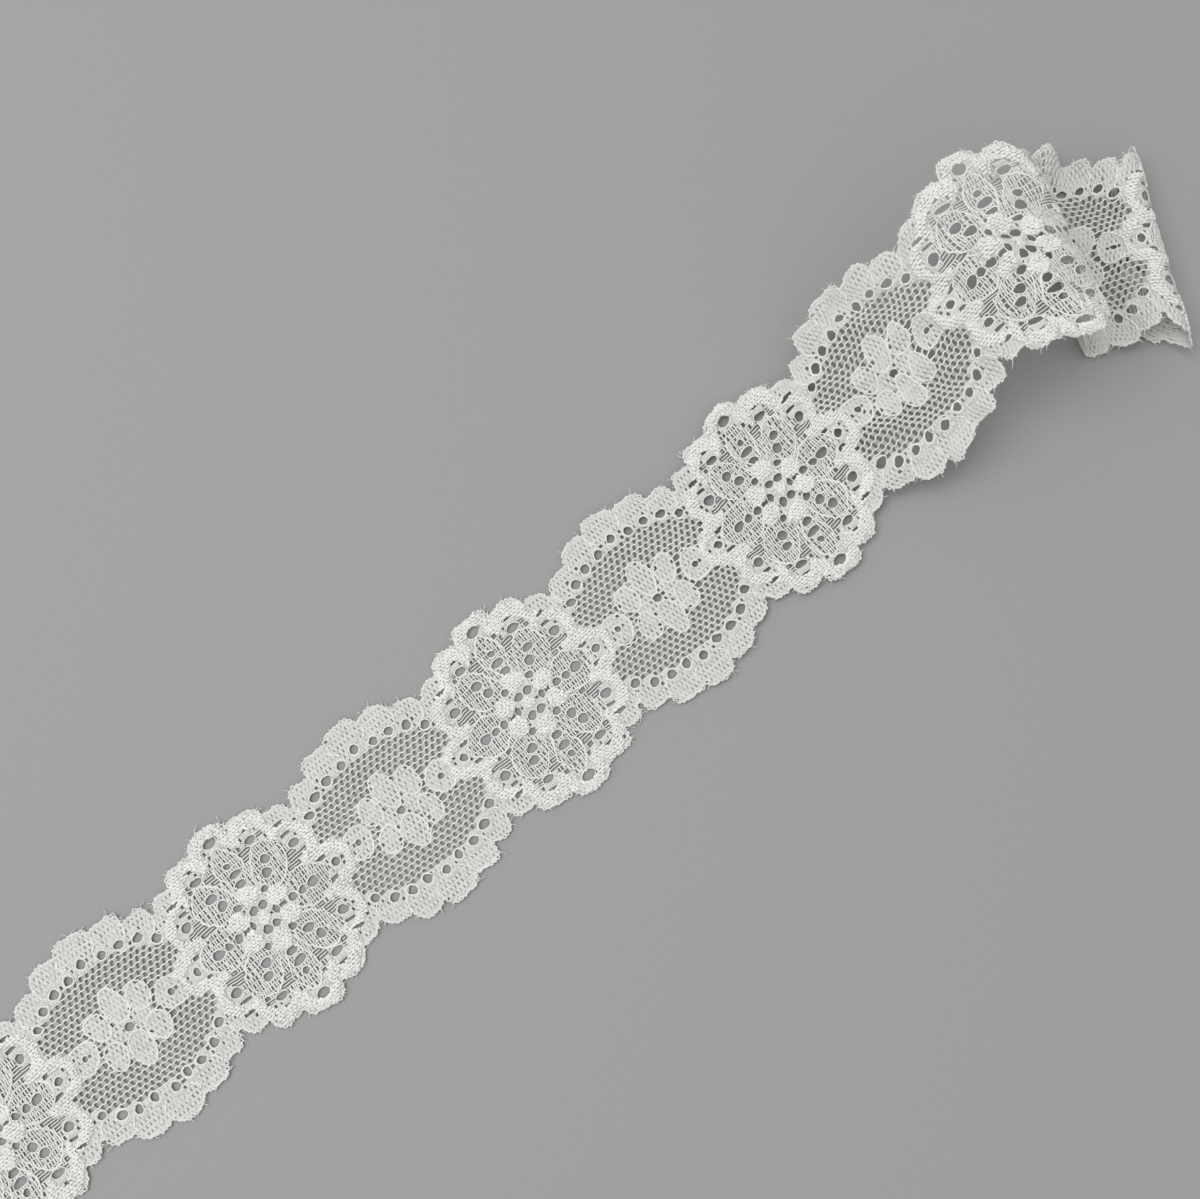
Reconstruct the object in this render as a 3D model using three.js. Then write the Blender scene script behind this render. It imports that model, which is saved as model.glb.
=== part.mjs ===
// A cut length of scalloped elastic lace trim, laid on a table.
// It lies flat for most of its length, then rises over a soft hump, drops into a valley,
// rises again and folds under itself. Millimetres, +Z up, +X along the flat run.
import * as THREE from "three";
import { mergeVertices } from "three/addons/utils/BufferGeometryUtils.js";

// Driving sizes
const sheetThickness = 1.0;
const cutLength = 381;
const patternRepeat = 70;
const firstFlower = 30;
const pathStep = 0.5;
const tailTurn = -8;
// The stretchy cloth spreads by this share where it folds under
const foldSpread = 0.08;
const spreadStart = 348;
const spreadLength = 16;

// The strip's path: one row for each section along its middle line.
// along: length along the strip; heading and pitch: direction of travel in degrees;
// across: direction of the straight line from edge to edge; skew: how far that line leans
// from square to the strip.
const pathRows = [
  { along: 0, heading: -0.5, pitch: 0, across: 90, skew: 0 },
  { along: 95, heading: -0.8, pitch: 0, across: 90, skew: 0 },
  { along: 150, heading: 0.3, pitch: 0, across: 90, skew: 0 },
  { along: 200, heading: 0.9, pitch: 0, across: 90, skew: 0 },
  { along: 244, heading: 3.4, pitch: 0, across: 90, skew: 0 },
  { along: 254, heading: 6.5, pitch: 13.5, across: 90, skew: 0 },
  { along: 264, heading: 7.4, pitch: 23.5, across: 93, skew: 0 },
  { along: 274, heading: 9.4, pitch: 27.5, across: 93, skew: 0 },
  { along: 286, heading: 10.7, pitch: 35, across: 92.5, skew: 0 },
  { along: 298, heading: 5.7, pitch: 27, across: 90.5, skew: 0 },
  { along: 307, heading: -6.3, pitch: 2, across: 85, skew: 3 },
  { along: 314, heading: -13.7, pitch: -3, across: 80, skew: 8 },
  { along: 319, heading: -18.7, pitch: -28, across: 75, skew: 11 },
  { along: 325, heading: -21.4, pitch: -72, across: 71, skew: 11 },
  { along: 332, heading: -24.3, pitch: -88, across: 68, skew: 8 },
  { along: 339, heading: -29, pitch: -67, across: 66, skew: 4 },
  { along: 345, heading: -32, pitch: -18, across: 65, skew: 2 },
  { along: 350, heading: -32, pitch: 17, across: 64, skew: 0 },
  { along: 355, heading: -31, pitch: 50, across: 64, skew: 0 },
  { along: 360, heading: -31, pitch: 52, across: 64, skew: 0 },
  { along: 364, heading: -31, pitch: 0, across: 64, skew: 0 },
];

// The scalloped edge: one row for each lobe of half a flower and half a panel,
// measured from the middle of that motif. The same lobes lie on both sides of it.
const flowerLobes = [
  { centre: 0, half: 4.6, tip: 22.5 },
  { centre: 7.6, half: 4.1, tip: 20.3 },
  { centre: 13.8, half: 3.2, tip: 17.3 },
];
const panelLobes = [
  { centre: 0, half: 4.0, tip: 22.5 },
  { centre: 7.0, half: 4.0, tip: 20.9 },
  { centre: 13.2, half: 3.5, tip: 17.9 },
];
const notchWidth = 14.9;
const lobeDepth = 4;
const lobePower = 3;

const radians = (degrees) => (degrees * Math.PI) / 180;
const softStep = (x) => x * x * (3 - 2 * x);
const clampUnit = (x) => Math.min(1, Math.max(0, x));

// A smooth curve through the rows that never swings past a row's own value
function sectionCurve(key) {
  const x = pathRows.map((row) => row.along);
  const y = pathRows.map((row) => row[key]);
  const width = x.slice(1).map((value, i) => value - x[i]);
  const slope = width.map((value, i) => (y[i + 1] - y[i]) / value);
  const tangent = y.map((_, i) => {
    if (i === 0 || i === y.length - 1 || slope[i - 1] * slope[i] <= 0) return 0;
    const before = 2 * width[i] + width[i - 1];
    const after = width[i] + 2 * width[i - 1];
    return (before + after) / (before / slope[i - 1] + after / slope[i]);
  });
  return (along) => {
    let i = 0;
    while (i < width.length - 1 && along >= x[i + 1]) i += 1;
    const t = clampUnit((along - x[i]) / width[i]);
    const rise = softStep(t);
    const leave = t * (1 - t) ** 2;
    const arrive = -t * t * (1 - t);
    return y[i] + (y[i + 1] - y[i]) * rise + width[i] * (leave * tangent[i] + arrive * tangent[i + 1]);
  };
}

// Middle line of the strip: a list of points with the edge-to-edge direction at each
function buildPath() {
  const curves = {};
  for (const key of ["heading", "pitch", "across", "skew"]) curves[key] = sectionCurve(key);
  const restHeight = sheetThickness / 2;
  const lastRow = pathRows[pathRows.length - 1];
  const path = [];
  const place = new THREE.Vector3(0, 0, restHeight);
  let curlArc = 1;
  for (let along = 0; along <= cutLength + pathStep / 2; along += pathStep) {
    const curling = along > lastRow.along;
    const middle = along - pathStep / 2;
    // Past the last row the strip curls under through half a turn and lies back on the table
    const curl = clampUnit((middle - lastRow.along) / curlArc);
    const turned = radians(tailTurn) * softStep(clampUnit(2 * curl - 1));
    const heading = radians(curves.heading(curling ? lastRow.along : middle)) + turned;
    const pitch = curling ? -Math.PI * curl : radians(curves.pitch(middle));
    if (along > 0) {
      place.x += pathStep * Math.cos(pitch) * Math.cos(heading);
      place.y += pathStep * Math.cos(pitch) * Math.sin(heading);
      place.z = Math.max(restHeight, place.z + pathStep * Math.sin(pitch));
    }
    const here = curling ? lastRow.along : along;
    const across = radians(curves.across(here)) + turned;
    path.push({ place: place.clone(), across, skew: radians(curves.skew(here)) });
    if (!curling) curlArc = (Math.PI * (place.z - restHeight)) / 2;
  }
  return path;
}

const path = buildPath();

// The path's place, edge-to-edge direction and skew at a length along it
function pathAt(along) {
  const position = Math.min(path.length - 1.001, Math.max(0, along / pathStep));
  const i = Math.floor(position);
  const t = position - i;
  const [a, b] = [path[i], path[i + 1]];
  return {
    place: a.place.clone().lerp(b.place, t),
    across: a.across + (b.across - a.across) * t,
    skew: a.skew + (b.skew - a.skew) * t,
  };
}

// The sheet's middle surface: u runs along the strip and v across it, to the left of travel.
// Each straight line from edge to edge starts at the foot u - v * tan(skew) of the middle line.
function surfacePoint(u, v) {
  let foot = u;
  for (let turn = 0; turn < 30; turn += 1) {
    foot = (foot + u - v * Math.tan(pathAt(foot).skew)) / 2;
  }
  const line = pathAt(foot);
  const spread = 1 + foldSpread * softStep(clampUnit((foot - spreadStart) / spreadLength));
  const reach = (v * spread) / Math.cos(line.skew);
  return line.place.add(new THREE.Vector3(Math.cos(line.across), Math.sin(line.across), 0).multiplyScalar(reach));
}

function surfaceNormal(u, v) {
  const nudge = 0.75;
  const alongU = surfacePoint(Math.min(u + nudge, cutLength), v).sub(surfacePoint(Math.max(u - nudge, 0), v));
  const alongV = surfacePoint(u, v + nudge).sub(surfacePoint(u, v - nudge));
  return alongU.cross(alongV).normalize();
}

// Height of one lobe: a blunt arch that falls by lobeDepth at its ends
function lobeHeight(lobe, distance) {
  const x = Math.abs(distance - lobe.centre) / lobe.half;
  if (x >= 1) return 0;
  return lobe.tip - lobeDepth + lobeDepth * (1 - x ** lobePower) ** (1 / lobePower);
}

// Half the strip's width at u: the outermost lobe there, or the notch between motifs
function halfWidth(u) {
  let width = notchWidth;
  for (const [lobes, offset] of [[flowerLobes, firstFlower], [panelLobes, firstFlower + patternRepeat / 2]]) {
    const turns = Math.round((u - offset) / patternRepeat);
    const distance = Math.abs(u - offset - turns * patternRepeat);
    for (const lobe of lobes) width = Math.max(width, lobeHeight(lobe, distance));
  }
  return width;
}

// Columns along the strip: close together where it bends, further apart on the flat run
function columnPlaces() {
  const flatEnd = 240;
  const flatStep = 1.4;
  const bentStep = 1.0;
  const places = [0];
  while (places[places.length - 1] < cutLength - bentStep / 2) {
    const last = places[places.length - 1];
    places.push(Math.min(cutLength, last + (last < flatEnd ? flatStep : bentStep)));
  }
  return places;
}

// The closed sheet: an upper and a lower skin half the thickness away from the middle surface,
// joined round the scalloped edges and the two cut ends
function laceSheet() {
  const rowShares = [-1, -0.5, 0, 0.5, 1];
  const places = columnPlaces();
  const vertices = [];
  for (const side of [1, -1]) {
    for (const u of places) {
      for (const share of rowShares) {
        const v = share * halfWidth(u);
        const offset = surfaceNormal(u, v).multiplyScalar((side * sheetThickness) / 2);
        const point = surfacePoint(u, v).add(offset);
        vertices.push(point.x, point.y, Math.max(0, point.z));
      }
    }
  }
  const rows = rowShares.length;
  const skin = places.length * rows;
  const top = (i, j) => i * rows + j;
  const under = (i, j) => skin + i * rows + j;
  const faces = [];
  const quad = (a, b, c, d) => faces.push(a, b, c, a, c, d);
  for (let i = 0; i < places.length - 1; i += 1) {
    for (let j = 0; j < rows - 1; j += 1) {
      quad(top(i, j), top(i + 1, j), top(i + 1, j + 1), top(i, j + 1));
      quad(under(i, j), under(i, j + 1), under(i + 1, j + 1), under(i + 1, j));
    }
    quad(under(i, 0), under(i + 1, 0), top(i + 1, 0), top(i, 0));
    quad(top(i, rows - 1), top(i + 1, rows - 1), under(i + 1, rows - 1), under(i, rows - 1));
  }
  const end = places.length - 1;
  for (let j = 0; j < rows - 1; j += 1) {
    quad(top(0, j), top(0, j + 1), under(0, j + 1), under(0, j));
    quad(top(end, j), under(end, j), under(end, j + 1), top(end, j + 1));
  }
  const geometry = new THREE.BufferGeometry();
  geometry.setAttribute("position", new THREE.Float32BufferAttribute(vertices, 3));
  geometry.setIndex(faces);
  return mergeVertices(geometry);
}

// White stretch lace
const laceMaterial = new THREE.MeshStandardMaterial({ color: 0xe6e6e2, roughness: 0.9, metalness: 0 });

const lace = new THREE.Mesh(laceSheet(), laceMaterial);
lace.name = "lace_strip";

// The origin is the middle of the strip's footprint on the table
lace.geometry.computeBoundingBox();
const box = lace.geometry.boundingBox;
lace.position.set(-(box.min.x + box.max.x) / 2, -(box.min.y + box.max.y) / 2, -box.min.z);

const trim = new THREE.Group();
trim.add(lace);

export default trim;
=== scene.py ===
import math

import bpy
import numpy as np
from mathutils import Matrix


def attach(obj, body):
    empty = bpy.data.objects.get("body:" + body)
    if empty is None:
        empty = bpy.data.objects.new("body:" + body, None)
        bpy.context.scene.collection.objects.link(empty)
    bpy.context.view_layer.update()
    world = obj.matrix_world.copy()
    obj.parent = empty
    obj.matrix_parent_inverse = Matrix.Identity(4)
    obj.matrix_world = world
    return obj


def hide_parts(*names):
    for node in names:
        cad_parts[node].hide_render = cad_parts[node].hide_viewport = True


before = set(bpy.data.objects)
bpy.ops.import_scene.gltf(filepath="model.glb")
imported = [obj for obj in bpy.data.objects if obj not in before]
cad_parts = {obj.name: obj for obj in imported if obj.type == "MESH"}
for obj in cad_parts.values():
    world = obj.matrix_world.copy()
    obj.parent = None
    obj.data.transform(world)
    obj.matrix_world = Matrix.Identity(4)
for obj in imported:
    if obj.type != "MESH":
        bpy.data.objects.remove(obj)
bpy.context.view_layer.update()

print("frame loaded, nodes:", sorted(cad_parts))


cameraPlan = {
    "place": (-0.000439, -0.019415, 0.274935),
    "aim": (0.020897, 0.006745, 0.0),
    "turn": -39.2,  # degrees the picture is turned against the strip
    "lens": 39.0,
    "sensor": 36.0,
    "clip": (0.01, 20.0),
}


def addObject(name, data):
    thing = bpy.data.objects.new(name, data)
    bpy.context.scene.collection.objects.link(thing)
    return thing


def setCamera(plan):
    data = bpy.data.cameras.new("camera")
    data.lens = plan["lens"]
    data.sensor_width = plan["sensor"]
    data.clip_start, data.clip_end = plan["clip"]
    view = addObject("camera", data)
    away = np.array(plan["place"]) - np.array(plan["aim"])
    tilt = math.atan2(np.hypot(away[0], away[1]), away[2])
    view.location = plan["place"]
    view.rotation_euler = (tilt, 0.0, math.radians(plan["turn"]))
    bpy.context.scene.camera = view


setCamera(cameraPlan)
print("camera set")


# The strip in millimetres: the same rows, lobes and lengths as the part's source.
# Each row is the length along, then heading, pitch, across and skew in degrees.
strip = {
    "length": 381.0,
    "step": 0.5,
    "rest": 0.5,  # height of the middle surface on the table
    "tailTurn": -8.0,
    "foldSpread": 0.08,
    "spreadStart": 348.0,
    "spreadLength": 16.0,
    "partShift": (-174.3462, 0.1817, 0.0),  # puts the middle of the footprint at the origin
    "rows": (
        (0, -0.5, 0, 90, 0), (95, -0.8, 0, 90, 0), (150, 0.3, 0, 90, 0), (200, 0.9, 0, 90, 0),
        (244, 3.4, 0, 90, 0), (254, 6.5, 13.5, 90, 0), (264, 7.4, 23.5, 93, 0), (274, 9.4, 27.5, 93, 0),
        (286, 10.7, 35, 92.5, 0), (298, 5.7, 27, 90.5, 0), (307, -6.3, 2, 85, 3), (314, -13.7, -3, 80, 8),
        (319, -18.7, -28, 75, 11), (325, -21.4, -72, 71, 11), (332, -24.3, -88, 68, 8),
        (339, -29, -67, 66, 4), (345, -32, -18, 65, 2), (350, -32, 17, 64, 0), (355, -31, 50, 64, 0),
        (360, -31, 52, 64, 0), (364, -31, 0, 64, 0),
    ),
    "lowest": 0.00001,  # metres above the table for the lowest thread
    "footTurns": 18,  # rounds that find a point's foot on the middle line
}

# The scalloped edge, from the middle of each motif: centre, half length and tip of each lobe
edgePlan = {
    "repeat": 70.0,
    "firstFlower": 30.0,
    "flowerLobes": ((0, 4.6, 22.5), (7.6, 4.1, 20.3), (13.8, 3.2, 17.3)),
    "panelLobes": ((0, 4, 22.5), (7, 4, 20.9), (13.2, 3.5, 17.9)),
    "notch": 14.9,
    "depth": 4.0,
    "power": 3.0,
    "turns": (-1, 7),  # repeats that the strip can touch
    "steps": (0.12, 2.3, 0.4),  # height, waves and start of the edge's small uneven steps
    "fineSteps": (0.1, 5.1, 1.7),  # the same for finer ones, which come and go
    "fineBeat": 0.37,
}


cutLength, repeat = strip["length"], edgePlan["repeat"]


def softStep(x):
    return x * x * (3 - 2 * x)


def ease(x):
    # softly from 0 to 1 while x goes from 0 to 1
    return softStep(np.clip(x, 0, 1))


def bell(x, place, length):
    # exp(-((x - place) / length)^2)
    return np.exp(-(((x - place) / length) ** 2))


def wave(u, v, waves):
    # the sine of first times u plus second times v plus third
    return np.sin(waves[0] * u + waves[1] * v + waves[2])


def smoothThrough(x, knots, values):
    # cubic between knots, its slopes the weighted harmonic mean of the slopes on both sides,
    # and level wherever the values turn back
    width = np.diff(knots)
    slope = np.diff(values) / width
    before, after = 2 * width[1:] + width[:-1], width[1:] + 2 * width[:-1]
    same = slope[:-1] * slope[1:] > 0
    safe = np.where(same, slope[:-1], 1.0), np.where(same, slope[1:], 1.0)
    tangent = np.zeros(len(values))
    tangent[1:-1] = np.where(same, (before + after) / (before / safe[0] + after / safe[1]), 0.0)
    i = np.clip(np.searchsorted(knots, x, side="right") - 1, 0, len(knots) - 2)
    t = np.clip((x - knots[i]) / width[i], 0, 1)
    bend = width[i] * (t * (1 - t) ** 2 * tangent[i] - t * t * (1 - t) * tangent[i + 1])
    return values[i] + (values[i + 1] - values[i]) * softStep(t) + bend


def stripPath(plan):
    # running sums of equal steps along heading and pitch; the height never goes below rest;
    # past the last row the pitch turns through half a circle that ends back on the table
    rows = np.array(plan["rows"], float)
    step, rest, last = plan["step"], plan["rest"], rows[-1, 0]
    along = np.arange(0, plan["length"] + step / 2, step)
    middle = along - step / 2

    def section(at, column):
        return np.radians(smoothThrough(np.minimum(at, last), rows[:, 0], rows[:, column]))

    def climb(slope):
        rise = step * np.sin(slope)
        rise[0] = 0
        height = rest + np.cumsum(rise)
        return height + np.maximum.accumulate(np.maximum(0, rest - height))

    heading, pitch = section(middle, 1), section(middle, 2)
    across, skew = section(along, 3), section(along, 4)
    arc = math.pi * (climb(pitch)[int(round(last / step))] - rest) / 2
    curl = np.where(along > last, np.clip((middle - last) / arc, 0, 1), 0)
    pitch = np.where(along > last, -math.pi * curl, pitch)
    turned = math.radians(plan["tailTurn"]) * ease(2 * curl - 1)
    forward = step * np.cos(pitch)
    forward[0] = 0
    heading = heading + turned
    east, north = np.cumsum(forward * np.cos(heading)), np.cumsum(forward * np.sin(heading))
    return along, np.stack([east, north, climb(pitch)], 1), across + turned, skew


pathAlong, pathPlace, pathAcross, pathSkew = stripPath(strip)


def stripPoint(u, v):
    # the middle surface: a straight line from edge to edge starts at the foot of the middle line
    # where u - v tan(skew) leads, and runs v along the across direction
    foot = u.copy()
    for _ in range(strip["footTurns"]):
        foot = (foot + u - v * np.tan(np.interp(foot, pathAlong, pathSkew))) / 2
    across, skew = np.interp(foot, pathAlong, pathAcross), np.interp(foot, pathAlong, pathSkew)
    spread = ease((foot - strip["spreadStart"]) / strip["spreadLength"])
    reach = v * (1 + strip["foldSpread"] * spread) / np.cos(skew)
    place = [np.interp(foot, pathAlong, pathPlace[:, k]) for k in range(3)]
    return np.stack([place[0] + reach * np.cos(across), place[1] + reach * np.sin(across), place[2]], -1)


def unit(a):
    return a / np.maximum(np.linalg.norm(a, axis=-1, keepdims=True), 1e-12)


def localPlace(u, offset):
    # distance along from the nearest flower (offset 0) or panel (offset half a repeat)
    half = repeat / 2
    return (u - edgePlan["firstFlower"] - offset + half) % repeat - half


def halfWidth(u):
    # the tallest lobe at u, each an arch of height tip - depth + depth (1 - x^3)^(1/3), or the notch
    width = np.full(u.shape, edgePlan["notch"])
    half, depth, power = repeat / 2, edgePlan["depth"], edgePlan["power"]
    for lobes, offset in ((edgePlan["flowerLobes"], 0.0), (edgePlan["panelLobes"], half)):
        distance = np.abs(localPlace(u, offset))
        for centre, size, tip in lobes:
            x = np.minimum(np.abs(distance - centre) / size, 1)
            arch = tip - depth + depth * (1 - x ** power) ** (1 / power)
            width = np.where(x < 1, np.maximum(width, arch), width)
    return width


def wornEdge(u):
    # the edge as knitted: the lobes, a sine of small steps, and a finer one that beats
    high, waves, start = edgePlan["steps"]
    steps = high * np.sin(waves * u + start)
    high, waves, start = edgePlan["fineSteps"]
    return halfWidth(u) + steps + high * np.sin(waves * u + start) * np.sin(edgePlan["fineBeat"] * u)


# How the laid cloth strays from the plain surface. Waves are turns along, across and a start,
# in radians a millimetre; heights and lengths are millimetres.
handPlan = {
    "pull": 0.16,  # in the plane of the cloth
    "humpPull": 1.3,  # how much stronger the pulls are over the hump
    "pullsAlong": ((0.11, 0.31, 0.0), (-0.47, 0.83, 1.0)),
    "pullsAcross": ((0.27, 0.21, 0.0), (0.71, 0.9, 2.0)),
    "lift": 0.12,
    "ripple": 0.1,
    "rippleWaves": ((0.33, 0.2, 0.0), (-0.1, 0.24, 0.6)),
    "rise": 0.9,  # how much clearer of the table the cloth stands towards the hump
    "riseStart": 180.0,
    "riseLengths": (50.0, 60.0),
    "humpStart": 246.0,
    "humpLengths": (20.0, 10.0),
    "ruffle": 0.9,  # of the edges over the hump
    "ruffleLength": 12.5,
    "ruffleTip": 22.0,
    "ruffleShift": 0.3,  # turns between the two edges, and a slant
    "ruffleSlant": 0.02,
    "pucker": 0.42,  # of the middle over the hump
    "puckerWaves": ((0.16, 0.62, 0.0), (0.24, -0.1, 0.0)),
    "gather": 0.6,  # of the small folds across the crest, and where
    "gatherAt": (308.0, 22.0),
    "gatherWaves": (0.7, 0.15),
    "gatherSway": (0.8, 0.2),
    "flare": 0.15,  # how far the right side spreads at the fold, and where
    "flareAt": (368.0, 5.0),
    "drawIn": 0.2,  # how much the cut end draws in, and from where
    "drawStart": 373.0,
    "drawLength": 6.0,
    "frill": (3.0, 0.8, 4.5),  # how the one lobe on the crest stands up, and where
    "frillAt": (345.5, 3.2),
    "frillAcross": (14.0, 8.0),
    "tailStart": 365.0,
    "tailLength": 6.0,
    "tailRoom": 0.4,
    "nudge": 0.75,  # half the span over which the outward direction is taken
}


def pulled(u, v, waves, pull):
    return pull * wave(u, v, waves[0]) + 0.5 * pull * wave(u, v, waves[1])


def onStrip(u, v):
    # place and outward direction of a point of the cloth: the middle surface at u and v, each
    # pulled by two sines, plus the outward direction times the sum of all ripples and folds
    plan, tail = handPlan, handPlan["tailStart"]
    (humpUp, humpDown), (riseUp, riseDown) = plan["humpLengths"], plan["riseLengths"]
    hump = ease((u - plan["humpStart"]) / humpUp) * ease((tail - u) / humpDown)
    pull = plan["pull"] * (1 + plan["humpPull"] * hump)
    u = u + pulled(u, v, plan["pullsAlong"], pull)
    v = v + pulled(u, v, plan["pullsAcross"], pull)
    u = np.clip(u, 0, cutLength)
    # the right side spreads a little at the fold, and the cut end draws in
    flare = plan["flare"] * bell(u, *plan["flareAt"])
    v = v * (1 + flare * (v < 0) - plan["drawIn"] * ease((u - plan["drawStart"]) / plan["drawLength"]))
    nudge = plan["nudge"]
    alongU = stripPoint(np.minimum(u + nudge, cutLength), v) - stripPoint(np.maximum(u - nudge, 0), v)
    normal = unit(np.cross(alongU, stripPoint(u, v + nudge) - stripPoint(u, v - nudge)))
    # over the hump the edges ruffle, more towards the tips, the middle puckers a little, and
    # small folds run from edge to edge at the crest
    turns = u / plan["ruffleLength"] + plan["ruffleShift"] * np.sign(v) + plan["ruffleSlant"] * v
    ruffle = plan["ruffle"] * (np.abs(v) / plan["ruffleTip"]) ** 2 * (1 + np.sin(2 * math.pi * turns)) / 2
    pucker, ripple = (
        plan[key] * wave(u, v, plan[key + "Waves"][0]) * wave(u, v, plan[key + "Waves"][1])
        for key in ("pucker", "ripple")
    )
    (alongWaves, acrossWaves), (sway, swayWaves) = plan["gatherWaves"], plan["gatherSway"]
    folds = np.sin(alongWaves * u + acrossWaves * v + sway * np.sin(swayWaves * v))
    gather = plan["gather"] * bell(u, *plan["gatherAt"]) * folds
    away = plan["lift"] + ripple + gather + hump * (ruffle + pucker)
    # nearer the hump the cloth stands a little clear of the table, and the tail, which lies
    # upside down, leaves room under its stitches
    away = away + plan["rise"] * ease((u - plan["riseStart"]) / riseUp) * ease((tail - u) / riseDown)
    away = away - plan["tailRoom"] * ease((u - tail) / plan["tailLength"])
    point = stripPoint(u, v) + normal * away[..., None]
    # one lobe on the crest stands up as a frill
    start, width = plan["frillAcross"]
    frill = bell(u, *plan["frillAt"]) * ease((v - start) / width)
    return point + frill[..., None] * np.array(plan["frill"]), normal


print("strip surface ready, crest at", round(float(pathPlace[:, 2].max()), 1), "mm")


# One quarter of a flower, from its centre, as along and across: the heavy outline as lines with
# half widths, blobs and close ground as ellipses (centre, half sizes, turn), petals and bare
# floats as outlines, and the eyelets with their length and width
flowerChart = {
    "heavy": (
        (
            (0, 21.3, 1.2), (2.2, 20.9, 1.3), (3.3, 19.5, 1.3), (3.4, 17.7, 1.3), (4.4, 16.4, 1.2),
            (4.9, 14.9, 0.6),
        ),
        (
            (4.4, 16.9, 1.4), (6, 18.3, 1.5), (8.6, 18.2, 1.6), (10.6, 16.8, 1.5), (11.4, 14.4, 1.3),
            (11.3, 12.6, 0.9), (11.7, 11.2, 0.5),
        ),
        (
            (11.6, 14.2, 1.1), (14, 12.7, 1.1), (16.5, 11, 1.4), (17.2, 8.4, 1.3), (16.4, 5.9, 1.4),
            (15.2, 4.5, 1.3),
        ),
        ((13.4, 4.4, 1.1), (16.4, 4, 1.4), (19.4, 3.2, 1.3), (21, 1.2, 1.1), (21.2, 0, 1)),
    ),
    "blobs": ((0, 5.8, 2.6, 2.2, 0), (4.8, 2.5, 2.5, 2.1, 25), (0, 0, 1.5, 1.5, 0)),
    # the petal along the strip, the petal across it and the petal between them
    "petals": (
        (
            (5.4, 0), (6.2, 1.7), (7.6, 3.1), (9.2, 4), (11.2, 4.3), (13.4, 3.6), (15.1, 2.2),
            (16, 0.8), (16.1, 0),
        ),
        (
            (0, 6.9), (1.2, 8.2), (2, 10), (2.8, 11.9), (3.1, 13.2), (2.7, 14.5), (1.8, 16.2),
            (0.8, 17.6), (0, 18.1),
        ),
        (
            (2, 3.4), (2.1, 6), (2.8, 8.2), (3.5, 10), (4.7, 11.7), (5.9, 12.9), (7.3, 13.4),
            (8.6, 13.2), (9.8, 12.2), (10.8, 10.5), (11.2, 8.9), (10.8, 7.2), (9.7, 5.6), (8.2, 4.3),
            (6.2, 3.4), (4, 2.8),
        ),
    ),
    "floats": (
        (
            (9.2, 4.7), (11.4, 5), (13.6, 4.3), (15.2, 5.2), (15.2, 6.6), (13.6, 7.3), (11.9, 7.7),
            (11.3, 7.6), (10.4, 5.8),
        ),
        ((3.2, 11.4), (3.9, 11.1), (5.2, 12.7), (6.1, 13.6), (5.5, 14.8), (4.1, 15), (3.2, 13.8)),
        ((2.2, 16.8), (3.1, 15.1), (4.1, 15.3), (3.3, 16.6), (2.3, 17.8), (1.5, 17.8)),
        (
            (5.6, 14), (7.2, 13.8), (8.9, 13.6), (10.1, 13.1), (10.2, 14.4), (9.2, 15.1), (7, 15.6),
            (5.6, 15.1),
        ),
    ),
    "close": ((0, 0, 4.4, 4.2, 0), (17.7, 0, 2.8, 2.6, 0)),
    "inner": (15, 17.3),  # half sizes of the open ground
    "eyelets": (
        (1.2, 2.35, 2.1, 1.9), (2.9, 0, 1.3, 2.1), (4.6, 0, 2, 0.4),
        (6.9, 0, 2, 1.8), (9.3, 0, 1.9, 1.8), (12, 0, 2.6, 1.9),
        (0, 9.1, 2.6, 1.7), (0, 11.3, 3.1, 1.6), (0, 13.4, 1.6, 1.5),
        (3.3, 5.1, 1.8, 1.6), (5.6, 7.3, 2.4, 2), (6.9, 9.7, 2.4, 1.9),
        (17.8, 0, 1.8, 2), (13.7, 8.3, 2.4, 2.1), (7.1, 14.6, 2.8, 1.6), (0, 19, 3.1, 2.2),
        (7.3, 16.7, 1.6, 0.5), (13.3, 10.4, 1.9, 0.6), (13.5, 13.6, 2.2, 0.8), (16, 2.3, 1.3, 0.6),
    ),
}

# One quarter of a panel, from the middle of its floret
panelChart = {
    # ellipses: the floret's long petals, its side petals, the small roses and its heart
    "florets": (
        (0, 5.2, 2.4, 4, 0), (5.2, 3.6, 2.35, 3.1, -8), (10.9, 0, 3.2, 3.4, 0),
        (0, 0, 5.6, 2, 0),
    ),
    "seams": (
        ((4, 19.7), (4.3, 18.5), (3.9, 17.4), (2.9, 16.7)),
        ((10.6, 17.9), (10.9, 16.7), (10.5, 15.6), (9.6, 14.8)),
        ((16.7, 14.6), (16.6, 13.4), (16, 12.4), (15.2, 11.9)),
    ),
    "net": (20.5, 14.4),
    "netPast": 1.2,  # how far the net runs past the middle between two motifs
    "eyelets": (
        (15, 10.6, 2.1, 1.9), (11.8, 13, 2.2, 2), (8, 14.3, 2.1, 2), (4.1, 15.2, 2, 1.9),
        (0, 15.9, 1.9, 2), (0, 0, 1.9, 2.1), (10.8, 0, 1.4, 1.4), (6.9, 1.2, 1, 0.7),
        (8.2, 3.1, 1, 0.7),
    ),
}

# The knitted ground: spacings in millimetres, those along the strip as shares of a repeat
knit = {
    "wale": 1.22,
    "net": repeat / 45,
    "dense": repeat / 74,
    "fine": repeat / 120,
    "railStep": repeat / 180,
    "netSway": 0.15,
    "swayFade": 0.7,  # how far inside the net its wales sway in full
    "uneven": 0.22,  # how far the chart's lines wander, and their waves
    "unevenAlong": (0.9, 1.3, 0.0),
    "unevenAcross": (1.1, -0.8, 2.0),
    "edgeInset": 0.25,  # of the outermost wale
    "edgeCrowd": 0.9,  # where wales crowd at the edge, and how far past it they still count
    "edgeReach": 1.3,
}


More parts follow.
